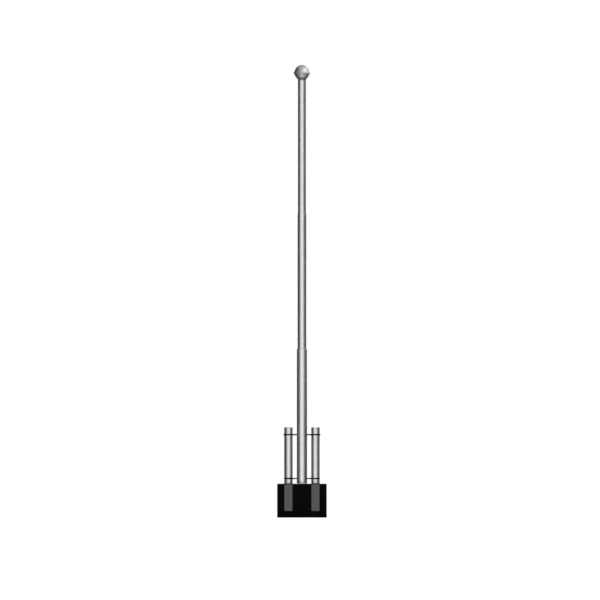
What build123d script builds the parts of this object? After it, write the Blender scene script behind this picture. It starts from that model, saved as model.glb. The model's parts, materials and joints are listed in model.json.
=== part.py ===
from build123d import *
import os
from math import asin, cos, degrees, sin, sqrt

# Stepped steel flagpole that tilts on a pivot bolt between two posts set in a concrete footing.
# Millimetres, +Z up, +X to the right of the front view, +Y away from it.
# The origin is the middle of the footing's underside.

# Pole: three tubes, each standing in the swaged mouth of the one below, on a heel curved about the pivot
section_length = 4000.0
lower_od = 303.0
lower_wall = 8.0
middle_od = 261.0
middle_wall = 6.0
upper_od = 240.0
upper_wall = 5.0
socket_depth = 600.0
swage_length = 10.0
neck_length = 6.0
bead_rise = 8.0
heel_gap = 5.5
heel_thickness = 10.0

# Ball: two spun half shells, slipped over the upper tube's end, with flared lips that meet in a narrow rim
ball_d = 438.0
ball_shell = 4.0
ball_overlap = 9.0
upper_half_rise = 24.0
flare_height = 80.0
rim_d = 496.0
rim_edge = 12.0
spigot_wall = 8.0
spigot_in_tube = 240.0
spigot_flange = 20.0

# Posts and their caps
post_od = 249.0
post_wall = 8.0
post_length = 2475.0
post_buried = 805.0
post_gap = 125.0
cap_thickness = 10.0
cap_chamfer = 3.0

# Footing block
footing_width = 1470.0
footing_depth = 1005.0
footing_arris = 20.0

# Bands round the posts where the bolts pass, with a flat on each side
band_wall = 10.0
band_height = 44.0
band_flat = 5.0
band_chamfer = 2.0

# Fasteners, all of one thread size
thread_d = 24.0
thread_chamfer = 2.0
hex_flats = 36.0
hex_chamfer = 2.0
head_height = 15.0
nut_height = 12.0
washer_od = 44.0
washer_thickness = 4.0
bolt_end = 4.0

# Pivot bolt through the pole, in a cross sleeve, and clamp screws that grip the pole's heel
pivot_below_top = 216.0
sleeve_od = 40.0
sleeve_play = 0.6
clamp_height = 154.0
clamp_point_d = 18.0
clamp_point_length = 14.0
key_flats = 12.0
key_depth = 15.0
boss_od = 40.0
boss_length = 70.0
pad_d = 40.0
pad_thickness = 25.0

# Clearances
slip_fit = 0.15
running_fit = 0.08
hole_clearance = 1.0
tip_clearance = 0.3
cut_overrun = 5.0

# Heights
ground = footing_depth
post_foot = ground - post_buried
post_top = post_foot + post_length
pivot_z = post_top - pivot_below_top
clamp_z = ground + clamp_height
heel_radius = pivot_z - ground - heel_gap
first_step = ground + section_length
second_step = first_step + section_length
pole_top = second_step + section_length

# Places across the pole
post_x = lower_od / 2 + post_gap + post_od / 2
band_r = post_od / 2 + slip_fit + band_wall
flat_from_axis = band_r - band_flat
outer_seat_x = post_x + flat_from_axis
inner_seat_x = post_x - flat_from_axis
pad_back_x = lower_od / 2 + tip_clearance + pad_thickness

UPWARD = (Align.CENTER, Align.CENTER, Align.MIN)


def bar(diameter, length):
    """Round bar that stands on the origin."""
    return Cylinder(diameter / 2, length, align=UPWARD)


def tube(outer_d, wall, bottom, top):
    """Round tube between two heights."""
    section = Circle(outer_d / 2) - Circle(outer_d / 2 - wall)
    return Pos(0, 0, bottom) * extrude(section, amount=top - bottom)


def along_x(start_x, z, side=1):
    """Place for a piece built along +Z, so that it runs from start_x to the given side."""
    return Pos(start_x, 0, z) * Rot(0, 90 * side, 0)


def cross_hole(diameter, centre_x, reach, z):
    """Cutter along X that runs past both sides of a round piece."""
    half = reach / 2 + cut_overrun
    return along_x(centre_x - half, z) * bar(diameter, 2 * half)


def hexagon(height, chamfer_both):
    """Hexagon with its corners turned off on the outer face, or on both faces."""
    blank = bar(2 * hex_flats / sqrt(3), height)
    rims = blank.edges().filter_by(GeomType.CIRCLE).sort_by(Axis.Z)
    blank = chamfer(rims if chamfer_both else rims[-1], hex_chamfer)
    return extrude(RegularPolygon(hex_flats / 2, 6, major_radius=False), amount=height) & blank


def hex_bolt(shank_length):
    """Bolt from the tip of its shank, at the origin, up to its head."""
    shank = bar(thread_d, shank_length)
    tip = shank.edges().filter_by(GeomType.CIRCLE).sort_by(Axis.Z)[0]
    return chamfer(tip, thread_chamfer) + Pos(0, 0, shank_length) * hexagon(head_height, False)


def hex_nut():
    """Nut on the same thread."""
    return hexagon(nut_height, True) - bar(thread_d + 2 * running_fit, nut_height)


def washer():
    """Flat washer."""
    section = Circle(washer_od / 2) - Circle(thread_d / 2 + hole_clearance)
    return extrude(section, amount=washer_thickness)


def footing():
    """Concrete block with a blind socket for each post."""
    block = Box(footing_width, footing_width, footing_depth, align=UPWARD)
    arrises = block.edges().filter_by(Axis.Z) + block.faces().sort_by(Axis.Z)[-1].edges()
    block = chamfer(arrises, footing_arris)
    for side in (-1, 1):
        socket = bar(post_od + 2 * slip_fit, post_buried + cut_overrun)
        block -= Pos(side * post_x, 0, post_foot) * socket
    return block


def post(side):
    """Post tube, drilled for the pivot bolt and the clamp screw."""
    body = Pos(side * post_x, 0, 0) * tube(post_od, post_wall, post_foot, post_top - cap_thickness)
    for z in (pivot_z, clamp_z):
        body -= cross_hole(thread_d + 2 * hole_clearance, side * post_x, post_od, z)
    return body


def post_cap(side):
    """Flat plate welded on a post's mouth."""
    plate = bar(post_od, cap_thickness)
    plate = chamfer(plate.edges().sort_by(Axis.Z)[-1], cap_chamfer)
    return Pos(side * post_x, 0, post_top - cap_thickness) * plate


def band(side, z):
    """Collar round a post, with flats for the fasteners and a hole through both walls."""
    ring = tube(2 * band_r, band_wall, -band_height / 2, band_height / 2)
    rims = ring.edges().filter_by(GeomType.CIRCLE).group_by(SortBy.RADIUS)[-1]
    ring = chamfer(rims, band_chamfer) & Box(2 * flat_from_axis, 2 * band_r, band_height)
    ring -= cross_hole(thread_d + 2 * running_fit, 0, 2 * band_r, 0)
    return Pos(side * post_x, 0, z) * ring


def pivot_bolt():
    """Bolt from its free end on the right to its head on the left."""
    free_end = outer_seat_x + washer_thickness + nut_height + bolt_end
    shank_length = free_end + outer_seat_x + washer_thickness
    return along_x(free_end, pivot_z, -1) * hex_bolt(shank_length)


def clamp_screw(side):
    """Grub screw through a band and its boss: a hex socket outside, a plain point that turns in the pad."""
    tip_x = pad_back_x - clamp_point_length
    length = outer_seat_x - tip_x
    shank = bar(thread_d, length)
    screw = chamfer(shank.edges().filter_by(GeomType.CIRCLE).sort_by(Axis.Z)[-1], thread_chamfer)
    around_point = Circle(thread_d / 2 + cut_overrun) - Circle(clamp_point_d / 2)
    screw -= extrude(around_point, amount=clamp_point_length)
    key_hole = RegularPolygon(key_flats / 2, 6, major_radius=False)
    screw -= Pos(0, 0, length - key_depth) * extrude(key_hole, amount=key_depth)
    return along_x(side * tip_x, clamp_z, side) * screw


def clamp_boss(side):
    """Tapped boss on a band's inner flat."""
    section = Circle(boss_od / 2) - Circle(thread_d / 2 + running_fit)
    return along_x(side * inner_seat_x, clamp_z, -side) * extrude(section, amount=boss_length)


def clamp_pad(side):
    """Flat pad that bears on the side of the pole, with a blind hole for the screw's point."""
    blind_hole = bar(clamp_point_d + 2 * running_fit, clamp_point_length)
    pad = bar(pad_d, pad_thickness) - Pos(0, 0, pad_thickness - clamp_point_length) * blind_hole
    return along_x(side * (pad_back_x - pad_thickness), clamp_z, side) * pad


def swaged_tube(outer_d, wall, carried_d, bottom, top):
    """Tube whose mouth is necked in to the tube that it carries."""
    outer_r = outer_d / 2
    neck_r = carried_d / 2 + slip_fit
    neck_start = top - neck_length
    swage_start = neck_start - swage_length
    outline = Polyline(
        (outer_r - wall, bottom),
        (outer_r, bottom),
        (outer_r, swage_start),
        (neck_r + wall, neck_start),
        (neck_r + wall, top),
        (neck_r, top),
        (neck_r, neck_start),
        (outer_r - wall, swage_start),
        close=True,
    )
    return revolve(make_face(Plane.XZ * outline), Axis.Z)


def weld_bead(carried_d, wall, step):
    """Rounded weld on a swaged mouth, against the tube that stands in it."""
    inner_r = carried_d / 2 + slip_fit
    foot = (inner_r + wall, 0)
    crest = (inner_r, bead_rise)
    outline = Curve() + [
        Polyline(crest, (inner_r, 0), foot),
        TangentArc(foot, crest, tangent=(0, 1)),
    ]
    return Pos(0, 0, step) * revolve(make_face(Plane.XZ * outline), Axis.Z)


def pole_below_pivot(inner_radius, outer_radius):
    """What a round bar of the pole's width holds between two distances from the pivot, under it."""
    stub = Pos(0, 0, pivot_z - outer_radius) * bar(lower_od, outer_radius)
    stub &= cross_hole(2 * outer_radius, 0, lower_od, pivot_z)
    return stub - cross_hole(2 * inner_radius, 0, lower_od, pivot_z)


def heel_plate():
    """Plate that closes the pole's foot, curved about the pivot so that it swings close to the ground."""
    return pole_below_pivot(heel_radius - heel_thickness, heel_radius)


def lower_tube():
    """Bottom tube, cut to the curve of the heel plate and drilled for the pivot sleeve."""
    seat_radius = heel_radius - heel_thickness
    body = swaged_tube(lower_od, lower_wall, middle_od, pivot_z - seat_radius, first_step)
    below_seat = Pos(0, 0, pivot_z - seat_radius) * bar(lower_od + cut_overrun, seat_radius)
    body -= below_seat - cross_hole(2 * seat_radius, 0, lower_od + cut_overrun, pivot_z)
    return body - cross_hole(sleeve_od + 2 * slip_fit, 0, lower_od, pivot_z)


def pivot_sleeve():
    """Cross tube in which the pivot bolt turns, and which keeps the pole midway between the posts."""
    half = inner_seat_x - sleeve_play
    section = Circle(sleeve_od / 2) - Circle(thread_d / 2 + running_fit)
    return along_x(-half, pivot_z) * extrude(section, amount=2 * half)


def ball_half(rise):
    """Spun shell with a flared lip, on the seam: a half ball whose middle lies the rise above it."""
    ball_r = ball_d / 2
    inner_r = ball_r - ball_shell
    centre = (0, rise)
    latitude = asin((flare_height - rise) / ball_r)
    flare_start = (ball_r * cos(latitude), flare_height)
    above_flare = 90 - degrees(latitude)
    inside_dip = degrees(asin(rise / inner_r))
    inner_seam = sqrt(inner_r**2 - rise**2)
    outline = Curve() + [
        CenterArc(centre, ball_r, degrees(latitude), above_flare),
        TangentArc(flare_start, (rim_d / 2, rim_edge), tangent=(sin(latitude), -cos(latitude))),
        Polyline((rim_d / 2, rim_edge), (rim_d / 2, 0), (inner_seam, 0)),
        CenterArc(centre, inner_r, -inside_dip, 90 + inside_dip),
        Line((0, rise + inner_r), (0, rise + ball_r)),
    ]
    return revolve(make_face(Plane.XZ * outline), Axis.Z)


# The ball's mouth lies where its outside is as wide as the upper tube, a little below the tube's end
mouth_drop = sqrt((ball_d / 2) ** 2 - (upper_od / 2) ** 2)
tube_end_drop = mouth_drop - ball_overlap
seam_z = pole_top + tube_end_drop


def ball_upper_half():
    """Upper shell."""
    return Pos(0, 0, seam_z) * ball_half(upper_half_rise)


def ball_lower_half():
    """Lower shell, open at the bottom round the tube's end."""
    shell = mirror(ball_half(0), Plane.XY)
    mouth = Rot(180, 0, 0) * bar(upper_od + 2 * slip_fit, ball_d)
    return Pos(0, 0, seam_z) * (shell - mouth)


def ball_spigot():
    """Turned plug in the upper tube's mouth, whose flange holds the ball's lower shell on the tube."""
    tube_fit_d = upper_od - 2 * upper_wall - 2 * slip_fit
    inner_d = tube_fit_d - 2 * spigot_wall
    flange_r = sqrt((ball_d / 2 - ball_shell) ** 2 - tube_end_drop**2) - slip_fit
    plug = tube(tube_fit_d, spigot_wall, pole_top - spigot_in_tube, pole_top)
    return plug + tube(2 * flange_r, flange_r - inner_d / 2, pole_top, pole_top + spigot_flange)


parts = {
    "concrete_footing": footing(),
    "pivot_bolt": pivot_bolt(),
    "pivot_nut": along_x(outer_seat_x + washer_thickness, pivot_z) * hex_nut(),
    "heel_plate": heel_plate(),
    "lower_tube": lower_tube(),
    "pivot_sleeve": pivot_sleeve(),
    "lower_weld_bead": weld_bead(middle_od, lower_wall, first_step),
    "middle_tube": swaged_tube(
        middle_od, middle_wall, upper_od, first_step - socket_depth, second_step
    ),
    "upper_weld_bead": weld_bead(upper_od, middle_wall, second_step),
    "upper_tube": tube(upper_od, upper_wall, second_step - socket_depth, pole_top),
    "ball_spigot": ball_spigot(),
    "ball_lower_half": ball_lower_half(),
    "ball_upper_half": ball_upper_half(),
}

for word, side in (("left", -1), ("right", 1)):
    parts[f"{word}_post"] = post(side)
    parts[f"{word}_post_cap"] = post_cap(side)
    parts[f"{word}_pivot_band"] = band(side, pivot_z)
    parts[f"{word}_clamp_band"] = band(side, clamp_z)
    parts[f"{word}_pivot_washer"] = along_x(side * outer_seat_x, pivot_z, side) * washer()
    parts[f"{word}_clamp_screw"] = clamp_screw(side)
    parts[f"{word}_clamp_boss"] = clamp_boss(side)
    parts[f"{word}_clamp_pad"] = clamp_pad(side)

os.makedirs("parts", exist_ok=True)
for name, solid in parts.items():
    export_step(solid, f"parts/{name}.step")
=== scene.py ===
import json
import math
import random
from collections import namedtuple

import bmesh
import bpy
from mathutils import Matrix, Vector


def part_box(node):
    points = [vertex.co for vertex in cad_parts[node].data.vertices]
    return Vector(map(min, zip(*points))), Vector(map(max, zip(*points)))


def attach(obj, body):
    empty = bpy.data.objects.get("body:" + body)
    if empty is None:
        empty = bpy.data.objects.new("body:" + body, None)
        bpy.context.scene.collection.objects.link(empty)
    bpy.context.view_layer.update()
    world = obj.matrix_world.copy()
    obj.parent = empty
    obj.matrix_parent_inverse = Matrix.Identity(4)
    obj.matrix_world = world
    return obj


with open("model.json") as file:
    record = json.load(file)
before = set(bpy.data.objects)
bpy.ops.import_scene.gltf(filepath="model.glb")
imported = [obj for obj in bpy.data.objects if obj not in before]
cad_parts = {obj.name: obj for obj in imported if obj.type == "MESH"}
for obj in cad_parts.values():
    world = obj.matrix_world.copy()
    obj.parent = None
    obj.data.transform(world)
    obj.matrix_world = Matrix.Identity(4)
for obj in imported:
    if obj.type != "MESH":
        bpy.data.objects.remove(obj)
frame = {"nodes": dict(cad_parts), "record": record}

scene = bpy.context.scene
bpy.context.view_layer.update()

# Places in metres, read from the frame
footing_low, footing_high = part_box("concrete_footing")
post_low, post_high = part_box("right_post")
tube_low, tube_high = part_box("lower_tube")
sleeve_low, sleeve_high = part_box("pivot_sleeve")
boss_low, boss_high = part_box("right_clamp_boss")
ball_low, ball_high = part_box("ball_upper_half")
ball_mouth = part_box("ball_lower_half")[0].z
heel_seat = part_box("heel_plate")[1].z
second_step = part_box("upper_weld_bead")[0].z
upper_tube_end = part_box("upper_tube")[1].z
ground = footing_high.z
ball_seam = ball_low.z
pivot_z = (sleeve_low.z + sleeve_high.z) / 2
clamp_z = (boss_low.z + boss_high.z) / 2
post_x = (post_low.x + post_high.x) / 2
post_r = (post_high.x - post_low.x) / 2
tube_r = (tube_high.x - tube_low.x) / 2
sleeve_r = (sleeve_high.z - sleeve_low.z) / 2
boss_r = (boss_high.z - boss_low.z) / 2
sides = (("left", -1), ("right", 1))

# The photograph's framing, in its pixels
picture_px = 600
pole_px = 301.93
ground_px = 483.70
second_step_px = 213.87
metres_per_px = (second_step - ground) / (ground_px - second_step_px)
camera_distance = 40.0
camera_reach = 200.0

# Welds and mastic, in metres; a ripple is a share of the bead's radius
weld_r = 0.0055
weld_lift = weld_r * 0.6
seam_weld_r = 0.0035
seam_weld_sink = seam_weld_r / 3
weld_pitch = 0.0065
weld_ripple = 0.3
seal_r = 0.008
seal_pitch = 0.06
seal_ripple = 0.15
least_swell = 0.8
fewest_ripples = 8
steps_per_ripple = 6
bead_sides = 10

# Threads, in metres
thread_d = 0.024
thread_pitch = 0.003
thread_depth = 0.0009
thread_sink = thread_depth / 4
thread_half = thread_pitch * 0.46
thread_chamfer = 0.002
thread_steps_per_turn = 32

# Stage, in metres and watts
floor_reach = 200.0
floor_drop = 0.002
floor_grey = 0.98
flag_x = 4.0
low_flag_top = 3.5
over_ball = ball_high.z + 5.0
under_ball = upper_tube_end + 0.6
card_rise = 0.05
card_grey = 0.08
lamp_size = 8.0
lamp_power = 300.0
lamp_place = (9.5, -8.0, 22.0)

# Colour sockets of a Mix node
mix_first, mix_second, mix_result = 6, 7, 2

random.seed(12)


class Graph:
    """Node tree of one material. Its calls add nodes and give back their output sockets."""

    def __init__(self, name, **values):
        self.material = bpy.data.materials.new(name)
        self.material.use_nodes = True
        self.tree = self.material.node_tree
        self.shader = self.tree.nodes["Principled BSDF"]
        self.set(**values)
        self.point = self.node("TexCoord").outputs["Object"]
        axes = self.node("SeparateXYZ", Vector=self.point).outputs
        self.x, self.y, self.z = axes["X"], axes["Y"], axes["Z"]

    def node(self, kind, **inputs):
        """New node, with its inputs set to values or joined to sockets."""
        made = self.tree.nodes.new("ShaderNode" + kind)
        for name, value in inputs.items():
            self.join(made.inputs[name], value)
        return made

    def join(self, socket, value):
        """Sets a socket to a value, or links it to another socket."""
        if isinstance(value, bpy.types.NodeSocket):
            self.tree.links.new(value, socket)
        else:
            socket.default_value = value

    def set(self, **sockets):
        """Joins sockets of the shader."""
        for name, value in sockets.items():
            self.join(self.shader.inputs[name.replace("_", " ")], value)

    def stretched(self, x, y, z):
        """The surface point with its axes scaled."""
        return self.node("Mapping", Vector=self.point, Scale=(x, y, z)).outputs["Vector"]

    def round_axis(self):
        """Direction round the upright axis."""
        made = self.node("Tangent")
        made.direction_type = "RADIAL"
        made.axis = "Z"
        return made.outputs["Tangent"]

    def noise(self, scale, detail=4.0, point=None):
        """Soft random value from 0 to 1."""
        made = self.node("TexNoise", Vector=point or self.point, Scale=scale, Detail=detail)
        return made.outputs["Fac"]

    def cells(self, scale):
        """Random value of each crystal or grain."""
        made = self.node("TexVoronoi", Vector=self.point, Scale=scale)
        return self.node("SeparateColor", Color=made.outputs["Color"]).outputs["Red"]

    def pits(self, scale):
        """Distance from the middle of each cell."""
        return self.node("TexVoronoi", Vector=self.point, Scale=scale).outputs["Distance"]

    def math(self, operation, *values):
        """Arithmetic on sockets and numbers."""
        made = self.node("Math")
        made.operation = operation
        for socket, value in zip(made.inputs, values):
            self.join(socket, value)
        return made.outputs["Value"]

    def plus(self, first, second):
        """Sum of two values."""
        return self.math("ADD", first, second)

    def minus(self, first, second):
        """First value less the second."""
        return self.math("SUBTRACT", first, second)

    def times(self, first, second):
        """Product of two values."""
        return self.math("MULTIPLY", first, second)

    def size(self, value):
        """Value without its sign."""
        return self.math("ABSOLUTE", value)

    def fade(self, value, start, end, low=0.0, high=1.0):
        """Smooth change from low to high as the value goes from start to end."""
        made = self.node("MapRange")
        made.interpolation_type = "SMOOTHSTEP"
        for name, number in zip(("From Min", "From Max", "To Min", "To Max"), (start, end, low, high)):
            made.inputs[name].default_value = number
        self.join(made.inputs["Value"], value)
        return made.outputs["Result"]

    def mix(self, share, first, second):
        """Colour between two colours."""
        made = self.node("Mix")
        made.data_type = "RGBA"
        self.join(made.inputs["Factor"], share)
        self.join(made.inputs[mix_first], first)
        self.join(made.inputs[mix_second], second)
        return made.outputs[mix_result]

    def bump(self, height, distance, strength=1.0, normal=None):
        """Normal of a surface raised by the height, in metres of distance."""
        made = self.node("Bump", Height=height, Distance=distance, Strength=strength)
        if normal:
            self.join(made.inputs["Normal"], normal)
        return made.outputs["Normal"]

    def edges(self, radius):
        """1 along sharp edges, 0 on open faces."""
        made = self.node("VectorMath")
        made.operation = "DOT_PRODUCT"
        self.join(made.inputs[0], self.node("Bevel", Radius=radius).outputs["Normal"])
        self.join(made.inputs[1], self.node("NewGeometry").outputs["Normal"])
        return self.fade(made.outputs["Value"], 0.99, 0.85)


def grey(level, warmth=0.0):
    """Neutral colour, a little warmer if asked."""
    return (level * (1 + warmth), level, level * (1 - warmth), 1.0)


def galvanised_steel():
    """Zinc-coated tube: small crystals, lines and gloss drawn along it, a seam at the back.

    It is stained at the ground, and a shadow is painted on it just below the ball.
    """
    g = Graph("galvanised_steel", Metallic=1.0, Anisotropic=0.8)
    seam_half, seam_foot = 0.0008, 0.002
    stain_low, stain_high = ground - 0.04, ground + 0.02
    painted_shadow_low, painted_shadow_high = ball_mouth - 0.04, ball_mouth - 0.005

    crystals = g.cells(95.0)
    patches = g.noise(2.5)
    blotches = g.noise(18.0)
    lines = g.noise(1.0, 3.0, g.stretched(420.0, 420.0, 1.5))
    tone = g.plus(g.times(crystals, 0.4), g.times(lines, 0.6))
    dull = g.fade(patches, 0.5, 0.8, 0.0, 0.2)

    beside_axis = g.size(g.x)
    beside_post = g.size(g.minus(beside_axis, post_x))
    seam = g.fade(g.math("MINIMUM", beside_axis, beside_post), seam_half, seam_foot, 1.0, 0.0)
    seam = g.times(seam, g.fade(g.y, 0.0, 0.01))

    splashed = g.minus(g.z, g.times(blotches, 0.06))
    stain = g.fade(splashed, stain_low, stain_high, 0.3, 0.0)
    # Painted shadow: a dark band on the tube just below the ball, where the ball's shadow falls
    painted_shade_height = g.plus(g.z, g.times(blotches, 0.02))
    painted_shadow = g.fade(painted_shade_height, painted_shadow_low, painted_shadow_high, 0.0, 0.8)

    colour = g.mix(tone, grey(0.82), grey(0.92))
    colour = g.mix(dull, colour, grey(0.76, 0.01))
    colour = g.mix(g.times(seam, 0.5), colour, grey(0.45))
    colour = g.mix(stain, colour, grey(0.34, 0.05))
    # Darkens the tube below the ball with the painted shadow
    colour = g.mix(painted_shadow, colour, grey(0.15, 0.02))
    rough = g.plus(g.fade(crystals, 0.0, 1.0, 0.31, 0.33), g.fade(patches, 0.4, 0.8, 0.0, 0.015))
    normal = g.bump(lines, 0.00001)
    normal = g.bump(crystals, 0.000006, normal=normal)
    normal = g.bump(seam, 0.0004, normal=normal)
    g.set(
        Base_Color=colour,
        Roughness=g.plus(rough, g.times(stain, 0.3)),
        Normal=normal,
        Tangent=g.round_axis(),
    )
    return g.material


def weld_metal():
    """Zinc-coated weld: duller and rougher than the tube."""
    g = Graph("weld_metal", Metallic=1.0)
    tone = g.noise(900.0, 3.0)
    g.set(
        Base_Color=g.mix(tone, grey(0.42), grey(0.7)),
        Roughness=g.fade(tone, 0.3, 0.8, 0.38, 0.6),
        Normal=g.bump(tone, 0.0003),
    )
    return g.material


def spun_ball():
    """Spun shell: fine turning lines round its axis, grime in the seam, painted shade on the lower half
    towards the mouth, faint rain streaks.
    """
    g = Graph("spun_ball", Metallic=1.0)
    turning_pitch = 0.0015
    seam_grime_from, seam_grime_to = 0.001, 0.006
    mouth_shade_from, mouth_shade_to = ball_mouth - 0.01, ball_mouth + 0.09

    turns = g.math("SINE", g.times(g.z, math.tau / turning_pitch))
    cloud = g.noise(14.0)
    streaks = g.noise(1.0, 3.0, g.stretched(70.0, 70.0, 6.0))
    from_seam = g.size(g.minus(g.z, ball_seam))
    seam_grime = g.fade(from_seam, seam_grime_from, seam_grime_to, 1.0, 0.0)
    seam_grime = g.times(seam_grime, g.fade(cloud, 0.25, 0.6, 0.4, 0.7))
    # Painted shade: the lower half darkens towards the mouth, where the ball's underside is in shade
    painted_shade_height = g.minus(g.z, g.times(cloud, 0.04))
    mouth_painted_shade = g.fade(painted_shade_height, mouth_shade_from, mouth_shade_to, 0.7, 0.0)
    # Seam grime together with the painted shade of the lower half
    seam_grime_and_shade = g.math("MAXIMUM", seam_grime, mouth_painted_shade)
    colour = g.mix(streaks, grey(0.6), grey(0.72))
    g.set(
        Base_Color=g.mix(seam_grime_and_shade, colour, grey(0.16, 0.03)),
        Roughness=g.plus(g.fade(cloud, 0.3, 0.7, 0.48, 0.54), g.times(seam_grime_and_shade, 0.3)),
        Normal=g.bump(turns, 0.00002),
    )
    return g.material


def black_steel():
    """Thick black paint on steel, orange-peel smooth, rubbed bright along its edges."""
    g = Graph("black_steel", Specular_IOR_Level=0.15)
    peel = g.noise(350.0, 2.0)
    patches = g.noise(40.0)
    rubbed = g.times(g.edges(0.0012), g.fade(patches, 0.55, 0.7))
    paint = g.mix(patches, grey(0.008), grey(0.018))
    g.set(
        Base_Color=g.mix(rubbed, paint, grey(0.2)),
        Metallic=g.times(rubbed, 0.9),
        Roughness=g.fade(patches, 0.3, 0.7, 0.38, 0.55),
        Normal=g.bump(peel, 0.0002),
    )
    return g.material


def black_fasteners():
    """Blackened steel: oily sheen, faint turning marks, corners worn by the spanner."""
    g = Graph("black_fasteners", Metallic=0.55, Specular_IOR_Level=0.15)
    marks = g.noise(1.0, 3.0, g.stretched(1400.0, 180.0, 180.0))
    patches = g.noise(60.0)
    worn = g.times(g.edges(0.0008), g.fade(patches, 0.42, 0.6))
    black = g.mix(marks, grey(0.008), grey(0.02))
    g.set(
        Base_Color=g.mix(worn, black, grey(0.2)),
        Roughness=g.fade(patches, 0.3, 0.7, 0.34, 0.5),
        Normal=g.bump(marks, 0.00006),
    )
    return g.material


def black_concrete():
    """Cast block in a brushed black coat: board marks, blowholes, grey where the arris is chipped.

    The coat leaves a bar of bare concrete on front and back over each buried post.
    """
    g = Graph("black_concrete", Specular_IOR_Level=0.04)
    board_height = 0.15
    bar_full, bar_end = post_r - 0.008, post_r - 0.006
    bar_foot, bar_start = post_low.z - 0.002, post_low.z + 0.002
    face_from, face_to = 0.0005, 0.001

    brushed = g.noise(1.0, 5.0, g.stretched(9.0, 9.0, 160.0))
    clouds = g.noise(3.5, 6.0)
    sand = g.noise(380.0, 6.0)
    holes = g.fade(g.plus(g.pits(34.0), g.times(g.noise(7.0), 0.5)), 0.26, 0.34)

    up_board = g.math("FRACT", g.math("DIVIDE", g.z, board_height))
    joint = g.fade(g.size(g.minus(up_board, 0.5)), 0.47, 0.495)

    beside_axis = g.size(g.x)
    to_side = g.minus(footing_high.x, beside_axis)
    to_front = g.minus(footing_high.y, g.size(g.y))
    to_top = g.minus(ground, g.z)
    nearest = g.math("MINIMUM", to_side, to_front)
    other = g.math("MINIMUM", g.math("MAXIMUM", to_side, to_front), to_top)
    to_arris = g.math("MAXIMUM", nearest, other)
    ragged = g.minus(to_arris, g.times(g.noise(26.0, 6.0), 0.05))
    chipped = g.fade(ragged, -0.022, -0.014, 1.0, 0.0)

    beside_post = g.size(g.minus(beside_axis, post_x))
    uneven = g.times(g.minus(brushed, 0.5), 0.006)
    bar = g.fade(g.plus(beside_post, uneven), bar_full, bar_end, 1.0, 0.0)
    bar = g.times(bar, g.fade(g.plus(g.z, uneven), bar_foot, bar_start))
    bar = g.times(bar, g.fade(to_front, face_from, face_to, 1.0, 0.0))

    coat = g.mix(brushed, grey(0.0005), grey(0.003))
    coat = g.mix(g.fade(clouds, 0.55, 0.8, 0.0, 0.4), coat, grey(0.007, 0.04))
    bare = g.mix(sand, grey(0.07, 0.02), grey(0.115, 0.02))
    chip = g.mix(sand, grey(0.03, 0.02), grey(0.08, 0.03))
    colour = g.mix(bar, coat, bare)
    colour = g.mix(g.times(chipped, 0.75), colour, chip)
    colour = g.mix(holes, grey(0.0015), colour)

    normal = g.bump(brushed, 0.0009)
    normal = g.bump(sand, 0.0008, 0.6, normal)
    normal = g.bump(holes, 0.003, 0.8, normal)
    normal = g.bump(joint, 0.0012, 0.8, normal)
    normal = g.bump(chipped, 0.003, -0.7, normal)
    g.set(
        Base_Color=colour,
        Roughness=g.plus(g.fade(brushed, 0.3, 0.7, 0.6, 0.78), g.times(bar, 0.15)),
        Normal=normal,
    )
    return g.material


def sealant():
    """Black mastic, smooth and slightly dusty."""
    g = Graph("sealant", Specular_IOR_Level=0.25)
    dust = g.noise(120.0, 5.0)
    g.set(
        Base_Color=g.mix(dust, grey(0.006), grey(0.03, 0.05)),
        Roughness=g.fade(dust, 0.3, 0.7, 0.5, 0.8),
        Normal=g.bump(dust, 0.0006),
    )
    return g.material


def plain_material(name, level):
    """Matt material for what stands round the object."""
    return Graph(name, Base_Color=grey(level), Roughness=0.9, Specular_IOR_Level=0.0).material


materials = {
    "galvanised_steel": galvanised_steel(),
    "spun_ball": spun_ball(),
    "black_steel": black_steel(),
    "black_fasteners": black_fasteners(),
    "black_concrete": black_concrete(),
}
weld_material = weld_metal()
seal_material = sealant()

Bead = namedtuple("Bead", "radius pitch ripple material slot")
step_weld = Bead(weld_r, weld_pitch, weld_ripple, weld_material, "galvanised_steel")
seam_weld = Bead(seam_weld_r, weld_pitch, weld_ripple, weld_material, "galvanised_steel")
painted_weld = Bead(seam_weld_r, weld_pitch, weld_ripple, materials["black_steel"], "black_steel")
mastic = Bead(seal_r, seal_pitch, seal_ripple, seal_material, "black_concrete")


def dress_cad_nodes():
    """Gives each CAD node the material of its slot."""
    for row in frame["record"]["subparts"]:
        mesh = frame["nodes"][row["node"]].data
        mesh.materials.clear()
        mesh.materials.append(materials[row["material_slot"]])


def add_piece(name, shape, material, body):
    """Turns a bmesh into a smooth piece that rides on a body."""
    bmesh.ops.recalc_face_normals(shape, faces=shape.faces)
    mesh = bpy.data.meshes.new(name)
    shape.to_mesh(mesh)
    shape.free()
    for face in mesh.polygons:
        face.use_smooth = True
    mesh.materials.append(material)
    piece = bpy.data.objects.new(name, mesh)
    scene.collection.objects.link(piece)
    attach(piece, body)


def bridge(shape, first, second):
    """Faces between two closed rows of vertices."""
    for i, corner in enumerate(first):
        j = (i + 1) % len(first)
        shape.faces.new((corner, first[j], second[j], second[i]))


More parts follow.
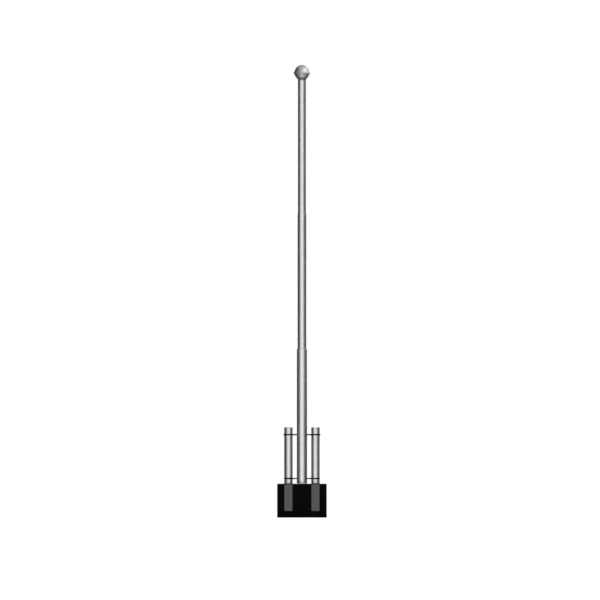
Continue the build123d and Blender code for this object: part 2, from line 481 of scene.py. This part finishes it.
def add_bead(name, bead, path_at, length, body):
    """Round bead along a closed path, swelling at each ripple; path_at gives the point at a turn."""
    ripples = max(fewest_ripples, round(length / bead.pitch))
    steps = ripples * steps_per_ripple
    path = [path_at(math.tau * (i / steps)) for i in range(steps)]
    centre = sum(path, Vector()) / steps
    swell = [random.uniform(least_swell, 1.0) for _ in range(ripples)]
    shape = bmesh.new()
    rings = []
    for i, point in enumerate(path):
        along = (path[(i + 1) % steps] - path[i - 1]).normalized()
        out = point - centre
        out = (out - along * out.dot(along)).normalized()
        up = along.cross(out)
        wave = abs(math.sin(math.pi * i / steps_per_ripple)) * swell[i // steps_per_ripple]
        size = bead.radius * (1 - bead.ripple + bead.ripple * wave)
        ring = []
        for k in range(bead_sides):
            turn = math.tau * k / bead_sides
            corner = point + out * size * math.cos(turn) + up * size * math.sin(turn)
            ring.append(shape.verts.new(corner))
        rings.append(ring)
    for i, ring in enumerate(rings):
        bridge(shape, ring, rings[(i + 1) % steps])
    add_piece(name, shape, bead.material, body)


def ring_path(centre_x, radius, z):
    """Circle about an upright axis."""
    def at(turn):
        return Vector((centre_x + radius * math.cos(turn), radius * math.sin(turn), z))
    return at


def saddle_path(side):
    """Line where the cross sleeve comes out of the pole's side."""
    def at(turn):
        y = sleeve_r * math.cos(turn)
        return Vector((side * math.sqrt(tube_r**2 - y**2), y, pivot_z + sleeve_r * math.sin(turn)))
    return at


def boss_path(side):
    """Circle where a clamp boss meets its band."""
    def at(turn):
        return Vector((side * boss_high.x, boss_r * math.cos(turn), clamp_z + boss_r * math.sin(turn)))
    return at


def heel_path():
    """Line where the pole's end meets the heel plate, which is curved about the pivot."""
    seat_radius = math.hypot(pivot_z - heel_seat, tube_r)
    radius = tube_r - seam_weld_sink
    def at(turn):
        y = radius * math.sin(turn)
        return Vector((radius * math.cos(turn), y, pivot_z - math.sqrt(seat_radius**2 - y**2)))
    return at


def add_beads():
    """Welds at the steps, cross sleeve, clamp bosses, post caps and heel, and mastic round the posts."""
    for name in ("lower_weld_bead", "upper_weld_bead"):
        low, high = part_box(name)
        radius = high.x - weld_r
        path = ring_path(0, radius, low.z + weld_lift)
        add_bead(name + "_ripples", step_weld, path, math.tau * radius, "pole")
    post_round = math.tau * post_r
    for word, side in sides:
        cap_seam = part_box(word + "_post_cap")[0].z
        cap_path = ring_path(side * post_x, post_r - seam_weld_sink, cap_seam)
        seal_path = ring_path(side * post_x, post_r, ground)
        add_bead(word + "_sleeve_weld", step_weld, saddle_path(side), math.tau * sleeve_r, "pole")
        add_bead(word + "_boss_weld", painted_weld, boss_path(side), math.tau * boss_r, "base")
        add_bead(word + "_cap_weld", seam_weld, cap_path, post_round, "base")
        add_bead(word + "_post_seal", mastic, seal_path, post_round, "base")
    add_bead("heel_weld", seam_weld, heel_path(), math.tau * tube_r, "pole")


def add_thread(name, start_x, end_x, z):
    """Raised screw thread, as a three-sided rib, on a stretch of shank that lies along X."""
    shank_r = thread_d / 2
    turns = abs(end_x - start_x) / thread_pitch
    steps = round(turns * thread_steps_per_turn)
    spread = Vector((thread_half, 0, 0))
    shape = bmesh.new()
    rows = []
    for i in range(steps + 1):
        share = i / steps
        turn = math.tau * i / thread_steps_per_turn
        run_out = min(1, share * turns, (1 - share) * turns)
        around = Vector((0, math.cos(turn), math.sin(turn)))
        middle = Vector((start_x + (end_x - start_x) * share, 0, z))
        foot = middle + around * (shank_r - thread_sink)
        crest = middle + around * (shank_r + thread_depth * run_out)
        rows.append([shape.verts.new(corner) for corner in (foot - spread, crest, foot + spread)])
    for first, second in zip(rows, rows[1:]):
        bridge(shape, first, second)
    for end in (rows[0], rows[-1]):
        shape.faces.new(end)
    add_piece(name, shape, materials["black_fasteners"], "base")


def add_threads():
    """Threads where the clamp screws and the pivot bolt show."""
    pad_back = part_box("right_clamp_pad")[1].x
    for word, side in sides:
        add_thread(word + "_clamp_thread", side * pad_back, side * boss_low.x, clamp_z)
    nut_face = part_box("pivot_nut")[1].x
    bolt_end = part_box("pivot_bolt")[1].x
    add_thread("pivot_bolt_thread", nut_face, bolt_end - thread_chamfer, pivot_z)


def level_corners(left, right, front, back, z):
    """Corners of a level sheet."""
    return [(left, front, z), (right, front, z), (right, back, z), (left, back, z)]


def upright_corners(x, front, back, low, high):
    """Corners of an upright sheet that faces sideways."""
    return [(x, front, low), (x, back, low), (x, back, high), (x, front, high)]


def add_sheet(name, corners, level):
    """Flat matt sheet of the stage."""
    mesh = bpy.data.meshes.new(name)
    mesh.from_pydata(corners, [], [range(len(corners))])
    mesh.materials.append(plain_material(name, level))
    sheet = bpy.data.objects.new(name, mesh)
    scene.collection.objects.link(sheet)
    return sheet


def add_flag(name, corners, level):
    """Dark sheet that shows only in the gloss of metal."""
    flag = add_sheet(name, corners, level)
    flag.visible_camera = False
    flag.visible_diffuse = False
    flag.visible_shadow = False
    flag.visible_transmission = False


def add_flags():
    """Flags that draw the dark edges of the bright tubes, with the pole upright and lowered.

    A card on each side of the pole keeps pole and posts from mirroring each other.
    """
    bottom = footing_low.z
    for name, x, front, back, top, level in (
        ("left_flag", -flag_x, -5.0, 9.0, over_ball, 0.03),
        ("right_flag", flag_x, -5.0, 7.0, under_ball, 0.08),
        ("left_low_flag", -flag_x, 9.0, 18.0, low_flag_top, 0.08),
        ("right_low_flag", flag_x, 7.0, 18.0, low_flag_top, 0.08),
    ):
        add_flag(name, upright_corners(x, front, back, bottom, top), level)
    for name, left, right, front, back, z, level in (
        ("ground_flag", -flag_x, flag_x, -2.5, 4.0, bottom, 0.08),
        ("far_ground_flag", -flag_x, flag_x, 4.0, 16.0, bottom, 0.3),
        ("ceiling_flag", -8.0, 2.5, -6.0, 16.0, over_ball, 0.45),
    ):
        add_flag(name, level_corners(left, right, front, back, z), level)
    card_x = (tube_r + post_x - post_r) / 2
    card_y = post_r * 1.2
    for word, side in sides:
        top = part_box(word + "_post_cap")[1].z + card_rise
        add_flag(word + "_card", upright_corners(side * card_x, -card_y, card_y, ground, top), card_grey)


def add_stage():
    """Pale floor, white surroundings and a soft lamp."""
    floor_z = footing_low.z - floor_drop
    corners = level_corners(-floor_reach, floor_reach, -floor_reach, floor_reach, floor_z)
    add_sheet("floor", corners, floor_grey)

    world = bpy.data.worlds.new("studio")
    world.use_nodes = True
    world.node_tree.nodes["Background"].inputs["Color"].default_value = grey(1.0)
    scene.world = world

    lamp = bpy.data.lights.new("key", "AREA")
    lamp.shape = "DISK"
    lamp.size = lamp_size
    lamp.energy = lamp_power
    key = bpy.data.objects.new("key", lamp)
    key.location = lamp_place
    aim = Vector((0, 0, second_step)) - key.location
    key.rotation_euler = aim.to_track_quat("-Z", "Y").to_euler()
    scene.collection.objects.link(key)


def add_camera():
    """Level front view without perspective, framed as the photograph."""
    data = bpy.data.cameras.new("camera")
    data.type = "ORTHO"
    data.ortho_scale = picture_px * metres_per_px
    data.clip_end = camera_reach
    camera = bpy.data.objects.new("camera", data)
    middle_px = picture_px / 2
    camera.location = (
        (middle_px - pole_px) * metres_per_px,
        -camera_distance,
        ground + (ground_px - middle_px) * metres_per_px,
    )
    camera.rotation_euler = (math.radians(90), 0, 0)
    scene.collection.objects.link(camera)
    scene.camera = camera


dress_cad_nodes()
add_beads()
add_threads()
add_stage()
add_flags()
add_camera()

scene.view_settings.view_transform = "Standard"
